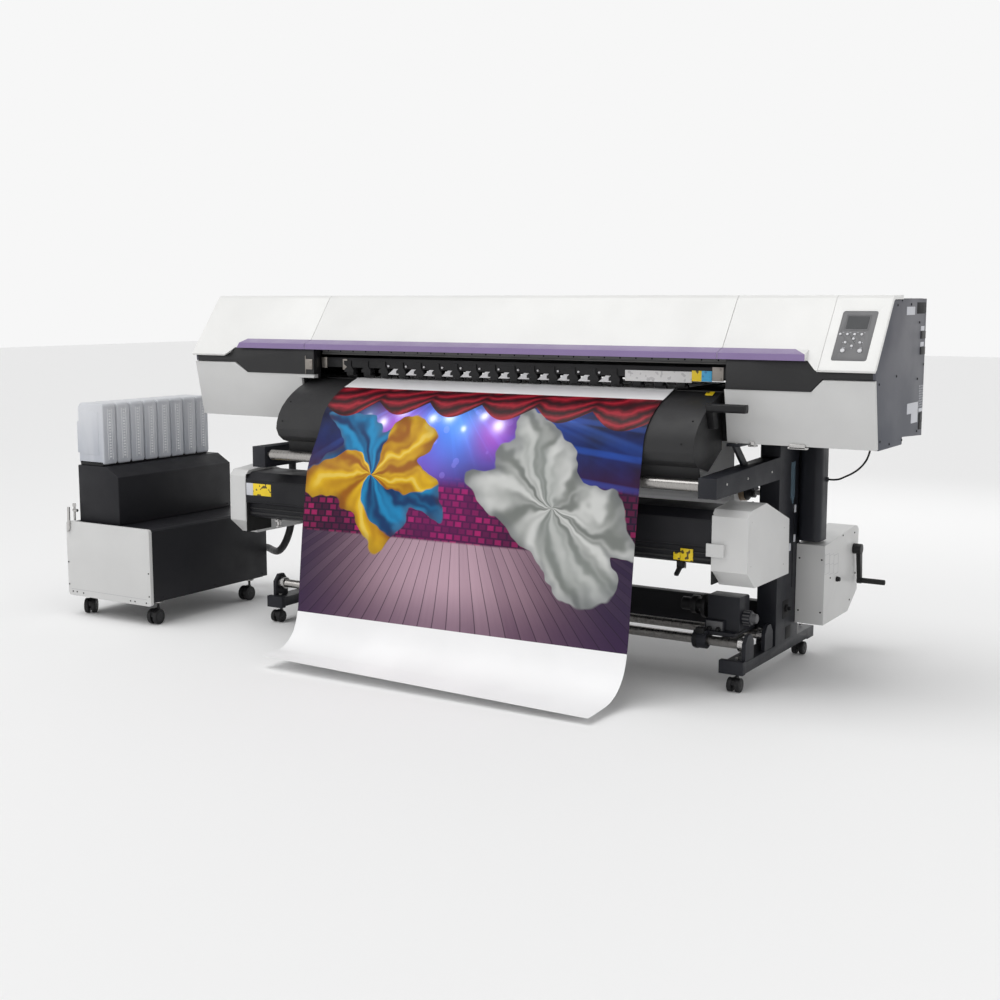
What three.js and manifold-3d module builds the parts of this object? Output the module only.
// Wide-format roll-to-roll inkjet printer with a slitter beam, a take-up unit and a separate ink cart.
// Millimetres, +Z up, +X to the operator's right, the operator stands on the -Y side, floor at z = 0.
import * as THREE from "three";
import { mergeVertices } from "three/addons/utils/BufferGeometryUtils.js";
import Module from "manifold-3d";

const wasm = await Module();
wasm.setup();

// ---------- driving dimensions ----------
const GAP = 0.4; // clearance between neighbouring pieces
const HALF_WIDTH = 1450; // half the length of the printer's covers
const SKIN = 14; // wall of the moulded covers
const BACK_Y = 176; // rear face of the printer
const TOP_Z = 1355; // top of the steel end plates

// The slanted front of the upper covers runs through these two (y, z) points.
const SLOPE_TOP = [-216, 1365];
const SLOPE_LIP = [-393, 1127];
const COVER_TOP_BACK = -109;
const LIP_Z = 1122; // lower edge of the outer upper covers
const TRIM_Z = [1157, 1176, 1191]; // lower edge, nose and upper edge of the coloured trim
const TRIM_NOSE_Y = -388;
const TRIM_ENDS = [-1180, 1218];
const NOTCH_OUTER = [-1277, 1262]; // where the upper covers' lower edge starts to rise
const NOTCH_INNER = [-1229, 1222];
const SEAMS = [-848, 916, 1264]; // joints between the upper covers

const LOWER_TOP = [-375, 1095]; // front of the lower covers, top and bottom (y, z)
const LOWER_BOTTOM = [-331, 873];
const LEDGE_Z = 1056; // top of the lower covers beside the print zone
const PRINT_ZONE = [-816, 941]; // clear width between the dark end housings

const FRAME_X = 1436;
const BEAM_FRONT = -290;
const BEAM_BACK = 165;
const BEAM_BOTTOM = 896;
const PLATEN_Z = 1042.5;

const MEDIA_X = [-652, 720]; // 54 inch media, 1372 mm wide
const MEDIA_THICK = 2;
const GUIDE_X = [-880, 900];
const ROLL_CENTRE = [330, 620];
const ROLL_RADIUS = 75;

const LEG_WIDTH = 75;
const RIGHT_LEG_X = 925;
const LEFT_LEG_X = -1145;
const FOOT_Y = [-305, 400];
const FOOT_Z = [69, 108];
const COLUMN_Y = [0, 222];

const SLITTER_X = [-1145, 925];
const CAP_X = [-1230, 1055];

const RAIL_Z = 160;
const RAIL_Y = [-240, -60];
const RAIL_RADIUS = 17;
const RAIL_X = [-1120, 985];
const CHUCK_AXIS = [-145, 262];

const CART_X = [-1972, -1492];
const CART_Y = [-622, 95];
const CART_Z = [97, 403];
const CASE_COUNT = 8;
const CASE_PITCH = 80;

const BUTTON_TRAVEL = 1.5;

// ---------- solids ----------
function solid(geometry) {
  const bare = geometry.index ? geometry.toNonIndexed() : geometry;
  bare.deleteAttribute("normal");
  bare.deleteAttribute("uv");
  const merged = mergeVertices(bare, 1e-4);
  const mesh = new wasm.Mesh({
    numProp: 3,
    vertProperties: merged.attributes.position.array,
    triVerts: new Uint32Array(merged.index.array),
  });
  return new wasm.Manifold(mesh);
}

function join(...bodies) {
  return bodies.reduce((whole, body) => whole.add(body));
}

function cut(body, ...tools) {
  return tools.reduce((whole, tool) => whole.subtract(tool), body);
}

function block([x0, x1], [y0, y1], [z0, z1]) {
  const box = new THREE.BoxGeometry(x1 - x0, y1 - y0, z1 - z0);
  box.translate((x0 + x1) / 2, (y0 + y1) / 2, (z0 + z1) / 2);
  return solid(box);
}

// An outline of [a, b] points pushed along one axis. The outline lies in (y, z), (x, z) or (x, y).
function prism(axis, outline, [from, to]) {
  const shape = new THREE.Shape(outline.map(([a, b]) => new THREE.Vector2(a, b)));
  const geometry = new THREE.ExtrudeGeometry(shape, { depth: to - from, bevelEnabled: false, curveSegments: 8 });
  const turn = new THREE.Matrix4();
  if (axis === "x") turn.set(0, 0, 1, from, 1, 0, 0, 0, 0, 1, 0, 0, 0, 0, 0, 1);
  if (axis === "y") turn.set(1, 0, 0, 0, 0, 0, -1, to, 0, 1, 0, 0, 0, 0, 0, 1);
  if (axis === "z") turn.makeTranslation(0, 0, from);
  return solid(geometry.applyMatrix4(turn));
}

// A round bar along one axis: centre is the pair of other coordinates.
function rod(axis, radius, [from, to], [a, b], sides = 24) {
  const geometry = new THREE.CylinderGeometry(radius, radius, to - from, sides);
  const middle = (from + to) / 2;
  if (axis === "x") geometry.rotateZ(-Math.PI / 2).translate(middle, a, b);
  if (axis === "y") geometry.translate(a, middle, b);
  if (axis === "z") geometry.rotateX(Math.PI / 2).translate(a, b, middle);
  return solid(geometry);
}

// A rectangle with rounded corners, as outline points.
function roundedRect(a0, a1, b0, b1, radius, steps = 4) {
  const corners = [
    [a1 - radius, b1 - radius, 0],
    [a0 + radius, b1 - radius, 90],
    [a0 + radius, b0 + radius, 180],
    [a1 - radius, b0 + radius, 270],
  ];
  return corners.flatMap(([a, b, start]) =>
    Array.from({ length: steps + 1 }, (_, i) => {
      const angle = THREE.MathUtils.degToRad(start + (90 * i) / steps);
      return [a + radius * Math.cos(angle), b + radius * Math.sin(angle)];
    }),
  );
}

// The same open line moved sideways by a distance, with mitred corners (to the right of travel).
function offsetLine(points, distance) {
  const normals = points.slice(1).map(([a, b], i) => {
    const da = a - points[i][0];
    const db = b - points[i][1];
    const length = Math.hypot(da, db);
    return [db / length, -da / length];
  });
  return points.map(([a, b], i) => {
    const before = normals[Math.max(i - 1, 0)];
    const after = normals[Math.min(i, normals.length - 1)];
    const sum = [before[0] + after[0], before[1] + after[1]];
    const scale = (2 * distance) / (sum[0] ** 2 + sum[1] ** 2);
    return [a + sum[0] * scale, b + sum[1] * scale];
  });
}

function strip(points, thickness) {
  return [...points, ...offsetLine(points, thickness).reverse()];
}

// A round tube along hand-placed points, with a section of few sides.
function tube(points, radius, steps, sides) {
  const path = new THREE.CatmullRomCurve3(points.map((p) => new THREE.Vector3(...p)));
  const section = new THREE.Shape(
    Array.from({ length: sides }, (_, i) => {
      const angle = (2 * Math.PI * i) / sides;
      return new THREE.Vector2(radius * Math.cos(angle), radius * Math.sin(angle));
    }),
  );
  return solid(new THREE.ExtrudeGeometry(section, { steps, bevelEnabled: false, extrudePath: path }));
}

// ---------- finishes ----------
const FINISH = {
  cover: [0xebebe8, 0.45, 0],
  lower: [0xcdcdcc, 0.5, 0],
  frame: [0x4b4e5a, 0.6, 0.1],
  black: [0x202022, 0.55, 0],
  guide: [0x3a3a3b, 0.6, 0.1],
  leg: [0x2b2c33, 0.6, 0.1],
  steel: [0xb4aca4, 0.3, 1],
  panel: [0x646466, 0.5, 0],
  button: [0xd7d7da, 0.5, 0],
  caps: [0xd2d2d0, 0.45, 0],
  rubber: [0x161618, 0.8, 0],
  media: [0xf2f2f2, 0.5, 0],
  cases: [0xb8bcc4, 0.3, 0],
};

const printer = new THREE.Group();

function addPart(name, body, finish, parent = printer) {
  const { vertProperties, triVerts } = body.getMesh();
  const geometry = new THREE.BufferGeometry();
  geometry.setAttribute("position", new THREE.BufferAttribute(vertProperties, 3));
  geometry.setIndex(new THREE.BufferAttribute(triVerts, 1));
  geometry.computeVertexNormals();
  const [color, roughness, metalness] = FINISH[finish];
  const mesh = new THREE.Mesh(geometry, new THREE.MeshStandardMaterial({ color, roughness, metalness }));
  mesh.name = name;
  parent.add(mesh);
}

// ---------- upper covers ----------
const slopeRun = (SLOPE_TOP[0] - SLOPE_LIP[0]) / (SLOPE_TOP[1] - SLOPE_LIP[1]);
const slopeY = (z) => SLOPE_TOP[0] - (SLOPE_TOP[1] - z) * slopeRun;

const coverLine = [
  [SLOPE_LIP[0] + 7, LIP_Z],
  [slopeY(LIP_Z + 7), LIP_Z + 7],
  [slopeY(1357), 1357],
  [-206, 1366],
  [COVER_TOP_BACK, 1367],
];

function upperCover(span) {
  return prism("x", strip(coverLine, SKIN), span);
}

// Everything in front of the line where the covers' lower edge rises over the print zone.
function notch(outline) {
  return prism("y", outline, [-430, -330]);
}

function trimNose(span) {
  const outline = [
    [-338, TRIM_Z[2]],
    [slopeY(TRIM_Z[2]) - 1, TRIM_Z[2]],
    [TRIM_NOSE_Y, TRIM_Z[1]],
    [TRIM_NOSE_Y, TRIM_Z[0]],
    [-352, TRIM_Z[0]],
  ];
  return prism("x", outline, span);
}

function buildLeftEndCover() {
  const span = [-HALF_WIDTH, SEAMS[0] - 1];
  const rise = notch([
    [NOTCH_OUTER[0], LIP_Z - 20],
    [SEAMS[0], LIP_Z - 20],
    [SEAMS[0], TRIM_Z[0]],
    [NOTCH_INNER[0], TRIM_Z[0]],
    [NOTCH_OUTER[0], LIP_Z - 1],
  ]);
  const body = join(cut(upperCover(span), rise), trimNose([TRIM_ENDS[0], span[1]]));
  addPart("left_end_cover", body, "cover");
}

function buildRightCover() {
  const span = [SEAMS[1] + 1, SEAMS[2] - 0.5];
  const rise = notch([
    [SEAMS[1], LIP_Z - 20],
    [NOTCH_OUTER[1], LIP_Z - 20],
    [NOTCH_OUTER[1], LIP_Z - 1],
    [NOTCH_INNER[1], TRIM_Z[0]],
    [SEAMS[1], TRIM_Z[0]],
  ]);
  const body = join(cut(upperCover(span), rise), trimNose([span[0], TRIM_ENDS[1]]));
  addPart("right_cover", body, "cover");
}

function buildFrontCover() {
  const span = [SEAMS[0] + 1, SEAMS[1] - 1];
  const below = block([span[0] - 1, span[1] + 1], [-430, -330], [LIP_Z - 20, TRIM_Z[0]]);
  addPart("front_cover", join(cut(upperCover(span), below), trimNose(span)), "cover");
}

// ---------- control panel ----------
// Local frame of the slanted front: x along the printer, y up the slope, z outwards.
const panelTilt = Math.atan2(SLOPE_TOP[1] - SLOPE_LIP[1], SLOPE_TOP[0] - SLOPE_LIP[0]);
const slope = new THREE.Group();
slope.position.set(0, ...SLOPE_TOP);
slope.rotation.x = panelTilt;
printer.add(slope);

const PANEL_X = [1298, 1413];
const PANEL_V = [-256, -62];
const PANEL_DEPTH = 9;
const SMALL_BUTTON = 4.5;
const LARGE_BUTTON = 7.5;
const BUTTONS = [
  ["button_menu", 1307, -153.5, SMALL_BUTTON],
  ["button_test", 1330.5, -153.5, SMALL_BUTTON],
  ["button_clean", 1354, -153.5, SMALL_BUTTON],
  ["button_clear", 1377.5, -153.5, SMALL_BUTTON],
  ["button_up", 1354, -171, SMALL_BUTTON],
  ["button_left", 1330, -185.5, SMALL_BUTTON],
  ["button_right", 1378, -185.5, SMALL_BUTTON],
  ["button_down", 1354, -199, SMALL_BUTTON],
  ["button_end", 1328, -217, LARGE_BUTTON],
  ["button_enter", 1384, -217, LARGE_BUTTON],
];

function onSlope(body) {
  const turned = body.rotate([THREE.MathUtils.radToDeg(panelTilt), 0, 0]);
  return turned.translate([0, ...SLOPE_TOP]);
}

function buildRightEndCover() {
  const outline = roundedRect(PANEL_X[0] - GAP, PANEL_X[1] + GAP, PANEL_V[0] - GAP, PANEL_V[1] + GAP, 8);
  const pocket = onSlope(prism("z", outline, [-PANEL_DEPTH - GAP, 20]));
  addPart("right_end_cover", cut(upperCover([SEAMS[2] + 0.5, HALF_WIDTH]), pocket), "cover");
}

function buildControlPanel() {
  const plate = prism("z", roundedRect(...PANEL_X, ...PANEL_V, 7.6), [-PANEL_DEPTH, -0.6]);
  const wells = BUTTONS.map(([, x, v, radius]) => rod("z", radius + GAP + 0.2, [-5.5, 5], [x, v], 12));
  const display = block([1318, 1390], [-133, -82], [-1.6, 5]);
  addPart("control_panel", cut(plate, display, ...wells), "panel", slope);
  for (const [name, x, v, radius] of BUTTONS) {
    const button = rod("z", radius, [-5.5 + BUTTON_TRAVEL + GAP, 1.8], [x, v], 12);
    addPart(name, button, "button", slope);
  }
}

// ---------- lower covers ----------
const lowerRun = (LOWER_BOTTOM[0] - LOWER_TOP[0]) / (LOWER_TOP[1] - LOWER_BOTTOM[1]);
const lowerY = (z) => LOWER_TOP[0] + (LOWER_TOP[1] - z) * lowerRun;

function lowerCover([outer, inner], [riseOuter, riseInner]) {
  const span = [Math.min(outer, inner), Math.max(outer, inner)];
  const wall = prism("x", strip([LOWER_BOTTOM, LOWER_TOP], SKIN), span);
  const over = inner > outer ? inner + 5 : inner - 5;
  const outline = [
    [riseOuter, LOWER_TOP[1] + 10],
    [riseOuter, LOWER_TOP[1]],
    [riseInner, LEDGE_Z],
    [over, LEDGE_Z],
    [over, LOWER_TOP[1] + 10],
  ];
  const recess = prism("y", inner > outer ? outline : outline.reverse(), [-430, -320]);
  return cut(wall, recess);
}

function buildLowerCovers() {
  const left = lowerCover([-1447, -885], [-1229, -1166]);
  const ledge = block([-900, PRINT_ZONE[0] - 2], [lowerY(LEDGE_Z) + 0.5, -342], [1042, LEDGE_Z]);
  addPart("lower_left_cover", join(left, ledge), "lower");
  addPart("lower_right_cover", lowerCover([1447, 935], [1276, 1236]), "lower");
}

// ---------- main frame ----------
function endPlate(span) {
  const outline = [
    [-312, 871],
    [-356, 1098.6],
    [-368, 1099.4],
    [-371, 1124],
    [-216, 1334],
    [-200, 1350],
    [-100, 1350],
    [-97, TOP_Z],
    [BACK_Y, TOP_Z],
    [BACK_Y, 884],
    [-57, BEAM_BOTTOM],
    [-57, 871],
  ];
  return prism("x", outline, span);
}

// The dark front of each end housing, between the upper and the lower covers.
// Below the ledge it stops at the shoulder, beside the media guide.
function fascia([outer, inner], [upperOuter, upperInner], [lowerOuter, lowerInner], shoulder) {
  const bandBottom = LOWER_TOP[1] + 3.4;
  const bandTop = LIP_Z - 1.6;
  const outline = [
    [outer, bandBottom],
    [lowerOuter, bandBottom],
    [lowerInner, LEDGE_Z + GAP],
    [inner, LEDGE_Z + GAP],
    [inner, TRIM_Z[0] - 0.6],
    [upperInner, TRIM_Z[0] - 0.6],
    [upperOuter, bandTop],
    [outer, bandTop],
  ];
  const wide = [Math.min(outer, inner), Math.max(outer, inner)];
  const narrow = [Math.min(outer, shoulder), Math.max(outer, shoulder)];
  return join(
    prism("y", inner > outer ? outline : outline.reverse(), [-370, -338]),
    block(wide, [-340, -325], [1045, 1150]),
    block(narrow, [-340, -325], [1010, 1150]),
    block(narrow, [-341, BEAM_FRONT + 1], [1010, 1036]),
  );
}

function buildMainFrame() {
  const body = join(
    block([-FRAME_X, FRAME_X], [BEAM_FRONT, BEAM_BACK], [BEAM_BOTTOM, 1036]),
    block([-FRAME_X, FRAME_X], [BEAM_FRONT, -57], [874, BEAM_BOTTOM]),
    block([PRINT_ZONE[0] + 4, PRINT_ZONE[1] - 4], [-288, 120], [1035, PLATEN_Z]),
    endPlate([FRAME_X - 1, FRAME_X + 10]),
    endPlate([-FRAME_X - 10, -FRAME_X + 1]),
    block([-FRAME_X, FRAME_X], [BACK_Y - 12, BACK_Y], [BEAM_BOTTOM, TOP_Z]),
    block([-FRAME_X, FRAME_X], [-97, BACK_Y], [TOP_Z - 12, TOP_Z]),
    fascia([-FRAME_X, PRINT_ZONE[0]], [NOTCH_OUTER[0], NOTCH_INNER[0]], [-1227, -1164], GUIDE_X[0] - 4),
    fascia([FRAME_X, PRINT_ZONE[1]], [NOTCH_OUTER[1], NOTCH_INNER[1]], [1274, 1234], PRINT_ZONE[1]),
    block([-FRAME_X, FRAME_X], [60, 100], [1180, 1240]),
    block([-FRAME_X, FRAME_X], [99, BEAM_BACK], [1195, 1225]),
    rearGuide(),
    rod("z", 24, [874, BEAM_BOTTOM + 1], [HOSE_EXIT[0], HOSE_EXIT[1]], 20),
    rod("z", 8, [886, BEAM_BOTTOM + 1], [CABLE_EXIT[0], CABLE_EXIT[1]], 12),
  );
  const slot = block([MEDIA_X[0] - 30, MEDIA_X[1] + 30], [BACK_Y - 20, BACK_Y + 4], [PLATEN_Z, PLATEN_Z + 9]);
  addPart("main_frame", cut(body, slot), "frame");
}

function rearGuide() {
  const outline = [
    [BACK_Y - 6, 940],
    [250, 940],
    [250, 975],
    [240, 1008],
    [214, 1031],
    [BACK_Y, PLATEN_Z - 0.5],
    [BACK_Y - 6, PLATEN_Z - 0.5],
  ];
  return prism("x", outline, [PRINT_ZONE[0], PRINT_ZONE[1]]);
}

// ---------- print zone ----------
function buildCarriage() {
  const x = [1085, 1255];
  const body = join(
    block(x, [-150, 58], [1085, 1325]),
    block([x[0] + 15, x[1] - 15], [-120, 30], [1052, 1086]),
    block(x, [50, 94], [1242, 1262]),
    block(x, [50, 94], [1158, 1178]),
  );
  addPart("carriage", body, "black");
}

const FINGER_COUNT = 18;
const FINGER_PITCH = 84;
const FIRST_FINGER = -673;

function buildPinchBar() {
  const fingers = Array.from({ length: FINGER_COUNT }, (_, i) => {
    const x = FIRST_FINGER + FINGER_PITCH * i;
    return join(
      block([x - 16, x + 16], [-322, -294], [1056, 1088]),
      rod("x", 7, [x - 22, x + 22], [-303, 1054], 8),
    );
  });
  const bar = block([PRINT_ZONE[0] + 4, PRINT_ZONE[1] - 5], [-322, -300], [1086, 1124]);
  addPart("pinch_bar", join(bar, ...fingers), "black");
}

const GUIDE_LINE = [
  [-405, 778],
  [-491, 802],
  [-518, 822],
  [-531, 850],
  [-527, 875],
  [-515, 905],
  [-493, 935],
  [-461, 963],
  [-427, 986],
  [-389, 1005],
  [-345, 1022],
  [BEAM_FRONT - 1, 1040],
];

function buildMediaGuide() {
  const back = BEAM_FRONT - 1;
  const hood = prism("x", [...GUIDE_LINE.toReversed(), [back, 845]].toReversed(), GUIDE_X);
  const apron = prism("x", [[-474, 752], [-466, 752], [-478, 808], [-487, 808]], [GUIDE_X[0] + 20, GUIDE_X[1]]);
  addPart("media_guide", join(hood, apron), "guide");
}

function buildLiftLever() {
  const x0 = GUIDE_X[1] + 1;
  const cheek = prism("x", [[-414, 925], [-382, 925], [-402, 1008], [-442, 1008]], [x0, x0 + 22]);
  const bar = prism("x", roundedRect(-442, -406, 982, 1010, 8, 3), [x0 + 4, x0 + 138]);
  addPart("lift_lever", join(cheek, bar), "black");
}

// ---------- media ----------
const MEDIA_LINE = [
  [253.4, 622],
  [253.4, 760],
  [253.4, 900],
  [253.4, 975],
  [249, 998],
  [238, 1017],
  [218, 1034],
  [190, 1043],
  [165, 1045],
  [60, 1045],
  [-100, 1045],
  [-286, 1044.8],
  [-304, 1042.3],
  [-345, 1027],
  [-390, 1009.5],
  [-429, 990.5],
  [-465, 967.5],
  [-498, 938.5],
  [-520.5, 907.5],
  [-532.5, 876],
  [-540, 835],
  [-554, 756],
  [-571, 640],
  [-586, 540],
  [-599, 440],
  [-612, 330],
  [-622, 240],
  [-634, 170],
  [-655, 112],
  [-685, 72],
  [-722, 42],
  [-765, 21],
  [-815, 9],
  [-860, 4],
  [-905, 2],
];

function buildMediaSheet() {
  const outer = offsetLine(MEDIA_LINE, -MEDIA_THICK / 2);
  const inner = offsetLine(MEDIA_LINE, MEDIA_THICK / 2);
  addPart("media_sheet", prism("x", [...inner, ...outer.reverse()], MEDIA_X), "media");
}

function buildMediaRoll() {
  const body = join(
    rod("x", ROLL_RADIUS, [MEDIA_X[0] - 2, MEDIA_X[1] + 2], ROLL_CENTRE, 28),
    rod("x", 38, [MEDIA_X[0] - 24, MEDIA_X[1] + 24], ROLL_CENTRE, 20),
    rod("x", 14, [LEFT_LEG_X + LEG_WIDTH + 0.6, RIGHT_LEG_X - 0.6], ROLL_CENTRE, 16),
  );
  addPart("media_roll", body, "media");
}

// ---------- stand ----------
// The foot's end caps stand proud on the leg's inner side.
function leg(x0) {
  const x = [x0, x0 + LEG_WIDTH];
  const cap = x0 < 0 ? [x0, x0 + LEG_WIDTH + 5] : [x0 - 15, x0 + LEG_WIDTH];
  return join(
    block(x, FOOT_Y, FOOT_Z),
    block(x, COLUMN_Y, [FOOT_Z[1] - 1, BEAM_BOTTOM - GAP]),
    block(cap, [FOOT_Y[0], FOOT_Y[0] + 26], [FOOT_Z[0] - 4, FOOT_Z[1] + 4]),
    block(x, [COLUMN_Y[1] - 1, ROLL_CENTRE[0] + 25], [ROLL_CENTRE[1] - 30, ROLL_CENTRE[1] + 30]),
    block(cap, [FOOT_Y[1] - 60, FOOT_Y[1] + 5], [FOOT_Z[0] - 4, FOOT_Z[1] - 2]),
  );
}

function buildLegs() {
  const leftArm = join(
    block([-1015, -950], [-520, 21], [690, 772]),
    block([LEFT_LEG_X, -950], [0, 60], [690, 772]),
    block([LEFT_LEG_X, LEFT_LEG_X + 65], [-249, 1], [470, 600]),
  );
  addPart("left_leg", join(leg(LEFT_LEG_X), leftArm), "leg");

  const rightArm = join(
    prism("x", [[-565, 710], [5, 716], [5, 797], [-565, 778]], [935, 1000]),
    block([940, 990], [-33, 1], [420, 560]),
    prism("x", [[-345, 872], [-140, 690], [-95, 690], [-300, 872]], [952, 962]),
    block([938, 985], [-345, -235], [862, 872]),
  );
  addPart("right_leg", join(leg(RIGHT_LEG_X), rightArm), "leg");
}

function buildColumnCover() {
  const outline = roundedRect(RIGHT_LEG_X + LEG_WIDTH + GAP, 1090, 178, 275, 26, 6);
  const gland = rod("x", 9, [1085, 1097], [CABLE_ENTRY[1], CABLE_ENTRY[2]], 12);
  addPart("column_cover", join(prism("z", outline, [472, 892]), gland), "leg");
}

const GEARBOX_LINE = [
  [190, 160],
  [470, 163],
  [575, 232],
  [575, 470],
  [560, 484],
  [530, 490],
  [190, 458],
];
const CRANK_HUB = [518, 401];
const CRANK_PIN = [534, 276];

function buildLift() {
  const x = [RIGHT_LEG_X + LEG_WIDTH + GAP, 1110];
  const stop = rod("x", 8, [1109, 1124], [326, 313], 14);
  addPart("lift_gearbox", join(prism("x", GEARBOX_LINE, x), stop), "caps");

  const face = x[1] + GAP;
  const along = new THREE.Vector2(CRANK_PIN[0] - CRANK_HUB[0], CRANK_PIN[1] - CRANK_HUB[1]).normalize();
  const corner = ([y, z], side, width) => [y - along.y * side * width, z + along.x * side * width];
  const web = [
    corner(CRANK_HUB, 1, 15),
    corner(CRANK_HUB, -1, 15),
    corner(CRANK_PIN, -1, 9),
    corner(CRANK_PIN, 1, 9),
  ];
  const crank = join(
    rod("x", 20, [face, face + 32], CRANK_HUB, 20),
    prism("x", web.reverse(), [face + 14, face + 30]),
    rod("x", 13, [face + 14, face + 30], CRANK_PIN, 16),
  );
  addPart("crank", crank, "rubber");
  addPart("crank_handle", rod("x", 10.5, [face + 30 + GAP, 1232], CRANK_PIN, 16), "rubber");
}

// ---------- slitter ----------
function buildSlitter() {
  const beamLine = [
    [-250, 455],
    [-250, 652],
    [-385, 648],
    [-422, 620],
    [-422, 525],
    [-401, 520],
    [-401, 470],
    [-360, 455],
  ].reverse();
  addPart("slitter_beam", prism("x", beamLine, [SLITTER_X[0] + GAP, SLITTER_X[1] - GAP]), "black");

  const capLine = [
    [-352, 389],
    [-34, 388],
    [-42, 586],
    [-262, 668],
    [-400, 656],
    [-422, 634],
    [-424, 448],
  ];
  const bracketRoom = block([LEFT_LEG_X - 5, LEFT_LEG_X + 70], [-251, 5], [465, 605]);
  const left = cut(prism("x", capLine, [CAP_X[0], SLITTER_X[0]]), bracketRoom);
  addPart("slitter_left_cap", left, "caps");
  const latch = block([SLITTER_X[1] - 14, 974], [-436, -424.4], [497, 541]);
  const latchRoot = block([SLITTER_X[1] + 1, 974], [-426, -420], [500, 538]);
  addPart("slitter_right_cap", join(prism("x", capLine, [SLITTER_X[1], CAP_X[1]]), latch, latchRoot), "caps");
}

function buildTensionRoller() {
  const body = join(
    rod("x", 20, [-930, 915], [-500, 742], 28),
    rod("x", 9, [-949.5, 934.5], [-500, 742], 16),
  );
  addPart("tension_roller", body, "steel");
}

// ---------- take-up unit ----------
// Outline of the bracket that holds a take-up rail's end on the foot.
function endPlateLine(y) {
  const foot = FOOT_Z[1] + GAP;
  return [
    [y - 38, foot],
    [y + 36, foot],
    [y + 36, 170],
    [y + 14, 198],
    [y - 14, 198],
    [y - 38, 170],
  ];
}

function buildTakeupFrame() {
  const plates = RAIL_Y.flatMap((y) =>
    [RAIL_X[0] - 10, RAIL_X[1]].map((x) =>
      prism("x", endPlateLine(y), [x, x + 12]),
    ),
  );
  const rails = RAIL_Y.flatMap((y) => [
    rod("x", RAIL_RADIUS, [RAIL_X[0], RAIL_X[1] + 1], [y, RAIL_Z], 20),
    rod("x", RAIL_RADIUS + 7, [RAIL_X[1] - 14, RAIL_X[1] + 1], [y, RAIL_Z], 20),
    rod("x", RAIL_RADIUS + 7, [RAIL_X[0] - 1, RAIL_X[0] + 14], [y, RAIL_Z], 20),
  ]);
  const crossbeam = block([LEFT_LEG_X + LEG_WIDTH + GAP, RIGHT_LEG_X - GAP], [60, 100], [128, 252]);
  const ties = [-1020, 880].map((x) => block([x, x + 30], [RAIL_Y[0], 61], [148, 172]));
  addPart("takeup_frame", join(...plates, ...rails, crossbeam, ...ties), "steel");
}

function railClamp(x) {
  const ring = rod("x", RAIL_RADIUS + 14, x, [RAIL_Y[0], RAIL_Z], 20);
  const lug = block(x, [RAIL_Y[0] - 14, RAIL_Y[0] + 40], [RAIL_Z, RAIL_Z + 34]);
  const bore = rod("x", RAIL_RADIUS + 0.8, [x[0] - 1, x[1] + 1], [RAIL_Y[0], RAIL_Z], 20);
  return cut(join(ring, lug), bore);
}

const SADDLE_Z = [RAIL_Z + RAIL_RADIUS + 1, RAIL_Z + RAIL_RADIUS + 14];

function buildTakeupMotor() {
  const body = join(
    prism("x", [[-190, 184], [-100, 184], [-100, 305], [-112, 313], [-190, 313]], [816, 937]),
    block([790, 937], [RAIL_Y[0] + 10, RAIL_Y[1] + 18], SADDLE_Z),
    railClamp([790, 840]),
    block([813, 886], [-206, -189], [178, 226]),
    rod("x", 26, [936, 966], [-150, 236], 20),
  );
  addPart("takeup_motor", body, "leg");
}

function buildTakeupChuck() {
  const body = join(
    rod("x", 44, [784, 800], CHUCK_AXIS, 24),
    rod("x", 24, [700, 785], CHUCK_AXIS, 16),
    rod("x", 34, [740, 762], CHUCK_AXIS, 16),
    rod("x", 14, [799, 815.5], CHUCK_AXIS, 12),
  );
  addPart("takeup_chuck", body, "black");
}

function buildTakeupHolder() {
  const body = join(
    railClamp([-860, -800]),
    block([-860, -800], [RAIL_Y[0] + 10, RAIL_Y[1] + 18], SADDLE_Z),
    prism("x", [[-190, 184], [-100, 184], [-112, 305], [-178, 305]], [-852, -812]),
    rod("x", 24, [-813, -740], CHUCK_AXIS, 24),
    rod("x", 40, [-813, -798], CHUCK_AXIS, 24),
  );
  addPart("takeup_holder", body, "black");
}

// ---------- ink cart ----------
function buildCart() {
  const right = CART_X[1];
  const outline = [
    [CART_X[0], CART_Z[0]],
    [right, CART_Z[0]],
    [right, CART_Z[1] - 8],
    [right - 8, CART_Z[1]],
    [CART_X[0], CART_Z[1]],
  ];
  const body = join(
    prism("y", outline, CART_Y),
    block([CART_X[0] + 14, right - 14], [CART_Y[0] + 20, CART_Y[1] - 12], [91.5, CART_Z[0] + 1]),
    rod("y", 24, [CART_Y[1] - 2, HOSE_ENTRY[1] - GAP], [HOSE_ENTRY[0], HOSE_ENTRY[2]], 20),
  );
  addPart("cart_body", body, "black");

  const panel = prism("y", roundedRect(-1980, -1485, 84, 408, 14), [-640, CART_Y[0] - GAP]);
  addPart("cart_panel", panel, "lower");

  const housing = prism(
    "y",
    [[-1935, 403.4], [-1694, 403.4], [-1694, 608], [-1765, 649], [-1935, 649]],
    [-600, 85],
  );
  addPart("cart_housing", housing, "black");
}

function buildInkCases() {
  const cases = Array.from({ length: CASE_COUNT }, (_, i) => {
    const y0 = -592 + CASE_PITCH * i;
    const shell = prism("y", roundedRect(-1935, -1780, 656, 916, 16, 3), [y0, y0 + CASE_PITCH - 6]);
    const flange = block([-1948, -1934], [y0 + 6, y0 + CASE_PITCH - 12], [700, 835]);
    return join(shell, flange);
  });
  const tray = block([-1926, -1789], [-592, 36], [649.4, 662]);
  addPart("ink_cases", join(tray, ...cases), "cases");
}

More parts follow.
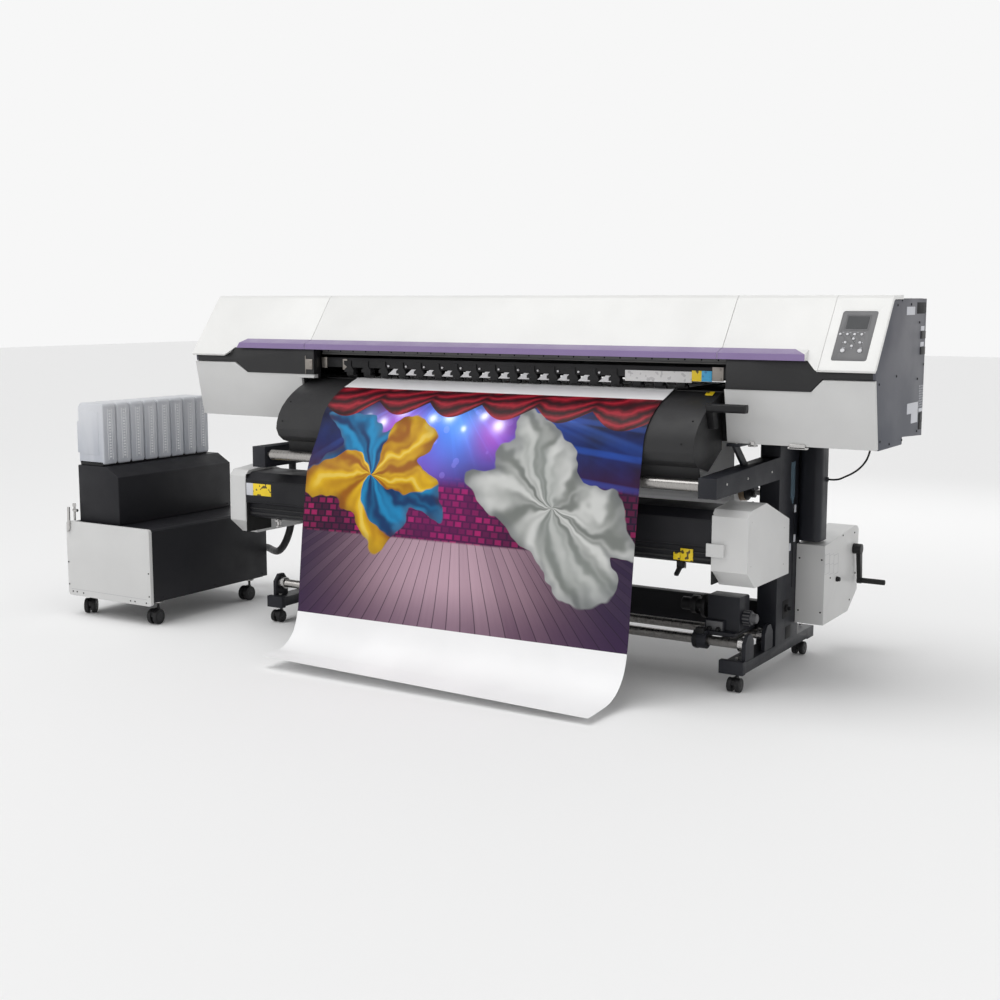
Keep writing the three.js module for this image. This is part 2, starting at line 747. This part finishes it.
// ---------- hose and cable ----------
const HOSE_EXIT = [-1300, 60, 873.6];
const HOSE_ENTRY = [-1823, 110, 188];
const HOSE_POINTS = [
  HOSE_EXIT,
  [-1300, 60, 820],
  [-1300, 60, 740],
  [-1300, 60, 650],
  [-1300, 60, 560],
  [-1302, 60, 470],
  [-1307, 60, 405],
  [-1318, 61, 348],
  [-1342, 67, 294],
  [-1380, 84, 250],
  [-1426, 111, 220],
  [-1477, 147, 203],
  [-1530, 188, 195],
  [-1567, 217, 191],
  [-1603, 245, 189],
  [-1647, 269, 188],
  [-1697, 275, 188],
  [-1746, 262, 188],
  [-1787, 232, 188],
  [-1814, 190, 188],
  [-1823, 140, 188],
  HOSE_ENTRY,
];
const CABLE_EXIT = [1310, 45, 885.4];
const CABLE_ENTRY = [1097.4, 238, 698];
const CABLE_POINTS = [
  CABLE_EXIT,
  [1310, 45, 864],
  [1305, 56, 836],
  [1290, 78, 804],
  [1266, 108, 776],
  [1236, 142, 752],
  [1203, 174, 732],
  [1170, 202, 716],
  [1141, 227, 703],
  [1116, 238, 698],
  CABLE_ENTRY,
];

function buildCords() {
  addPart("ink_hose", tube(HOSE_POINTS, 16.5, 26, 10), "rubber");
  addPart("power_cable", tube(CABLE_POINTS, 3.5, 24, 8), "rubber");
}

// ---------- casters ----------
// A twin-wheel caster: the stem is behind the axle by the trail, both inside one turning hood.
function caster(name, [x, y], radius, topZ, heading = 0) {
  const group = new THREE.Group();
  group.position.set(x, y, 0);
  group.rotation.z = THREE.MathUtils.degToRad(heading);
  printer.add(group);
  const trail = 18;
  const axle = [-trail, radius];
  const hoodLine = [
    [-trail - radius * 0.86, radius + 2],
    [12, radius + 2],
    [12, radius + 14],
    [4, radius * 2 + 2],
    [-trail, radius * 2 + 2],
    [-trail - radius * 0.7, radius * 1.65],
  ];
  const hood = join(
    prism("x", hoodLine, [-5.5, 5.5]),
    rod("x", radius * 0.42, [-5.5, 5.5], axle, 12),
    rod("z", 5.4, [radius + 5, topZ - 3], [0, 0], 10),
    rod("z", 19, [topZ - 4, topZ], [0, 0], 16),
  );
  const bore = rod("x", 4.6, [-7, 7], axle, 8);
  addPart(`${name}_fork`, cut(hood, bore), "rubber", group);
  const wheels = join(
    rod("x", radius, [6.5, 23], axle, 20),
    rod("x", radius, [-23, -6.5], axle, 20),
    rod("x", 4, [-22, 22], axle, 8),
  );
  addPart(`${name}_wheels`, wheels, "rubber", group);
}

function buildCasters() {
  const printerTop = FOOT_Z[0] - 4 - GAP;
  caster("caster_front_right", [962, -262], 25, printerTop);
  caster("caster_rear_right", [962, 372], 25, printerTop);
  caster("caster_front_left", [-1105, -262], 25, printerTop);
  caster("caster_rear_left", [-1105, 372], 25, printerTop);
  caster("cart_caster_front_left", [-1925, -560], 32, 91, 32);
  caster("cart_caster_front_right", [-1520, -566], 32, 91, 8);
  caster("cart_caster_rear_right", [-1520, 2], 32, 91);
  caster("cart_caster_rear_left", [-1935, 2], 32, 91);
}

// ---------- the whole machine ----------
buildMainFrame();
buildLeftEndCover();
buildRightCover();
buildRightEndCover();
buildFrontCover();
buildControlPanel();
buildLowerCovers();
buildCarriage();
buildPinchBar();
buildMediaGuide();
buildLiftLever();
buildMediaSheet();
buildMediaRoll();
buildLegs();
buildColumnCover();
buildLift();
buildSlitter();
buildTensionRoller();
buildTakeupFrame();
buildTakeupMotor();
buildTakeupChuck();
buildTakeupHolder();
buildCart();
buildInkCases();
buildCords();
buildCasters();

// The row's origin is the middle of the machine's footprint, on the floor.
const FOOTPRINT = { x: [-1980, HALF_WIDTH], y: [-905.04, 575] };
printer.position.set(-(FOOTPRINT.x[0] + FOOTPRINT.x[1]) / 2, -(FOOTPRINT.y[0] + FOOTPRINT.y[1]) / 2, 0);

const machine = new THREE.Group();
machine.add(printer);
export default machine;
